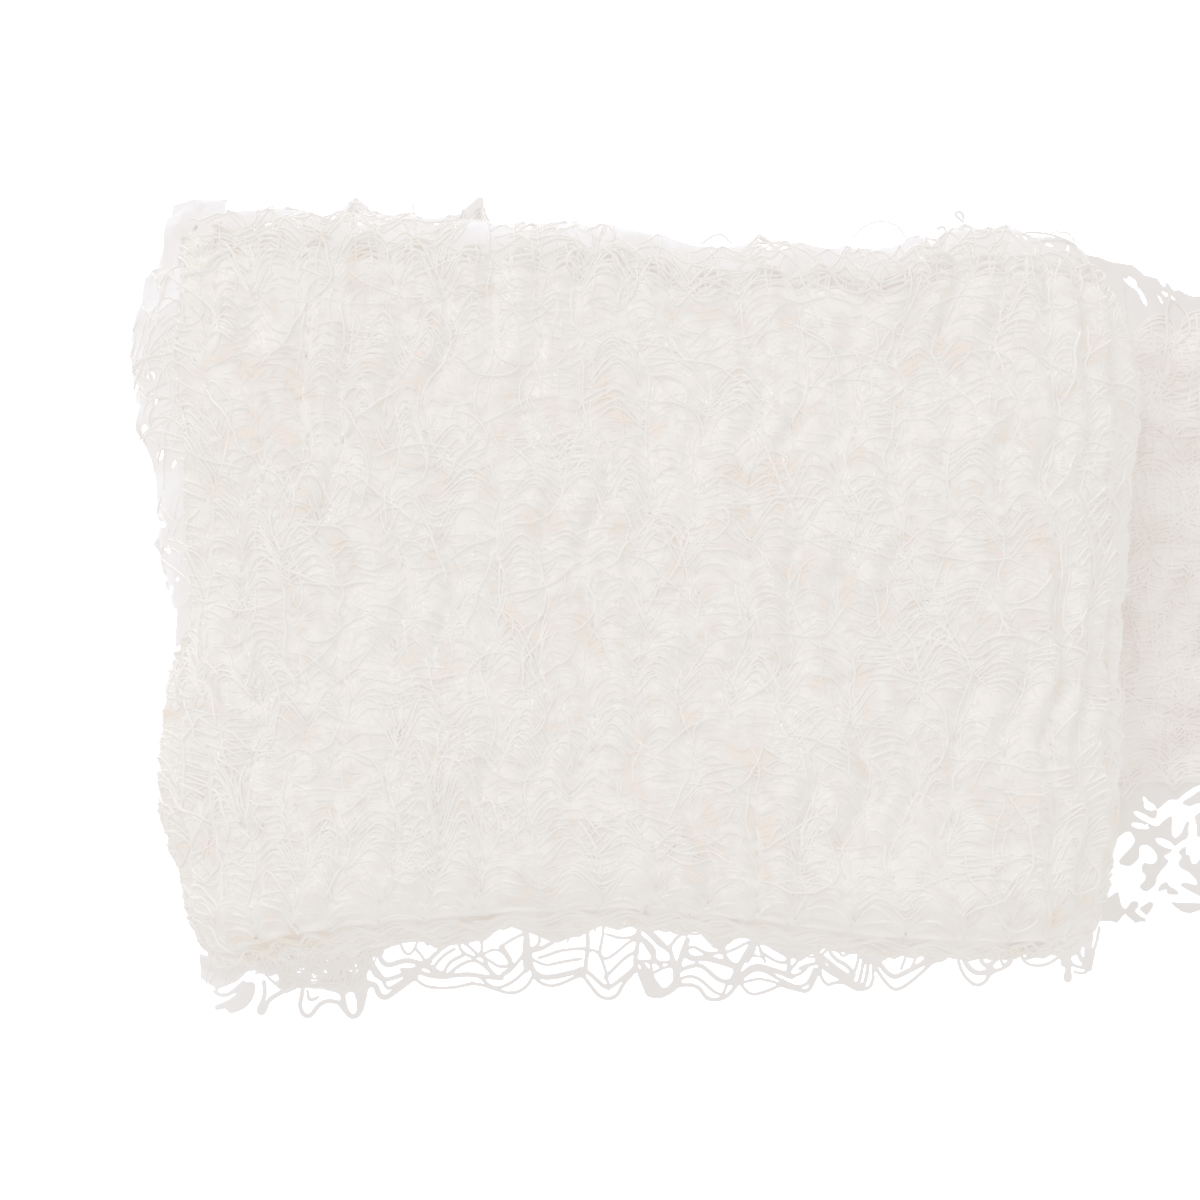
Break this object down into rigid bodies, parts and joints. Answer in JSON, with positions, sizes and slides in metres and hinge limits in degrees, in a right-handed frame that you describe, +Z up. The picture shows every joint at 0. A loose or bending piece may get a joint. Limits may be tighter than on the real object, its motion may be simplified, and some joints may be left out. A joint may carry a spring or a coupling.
{
  "type": "gauze bandage roll",
  "caption": "Roll of crinkled open-weave cotton gauze bandage, pressed flat, resting on its broad side with its loose end lying out beside it.",
  "frame": {"origin": "middle of the flat spot that the roll rests on, on the surface", "axes": "+Z up, +X along the bandage towards its loose end, Y along the axis that it is wound round, with -Y the front end"},
  "size_m": [0.1427, 0.0812, 0.0251],
  "materials": {
    "roll_cotton": "off-white crinkled cotton gauze, matt, soft and fluffy",
    "loose_end_cotton": "off-white crinkled cotton gauze, matt, thin and slightly see-through",
    "outer_ply_cotton": "off-white cotton net of one ply, matt, open"
  },
  "bodies": {
    "root": {"gauze_roll": "roll_cotton", "loose_end": "loose_end_cotton", "outer_ply": "outer_ply_cotton"}
  },
  "joints": []
}
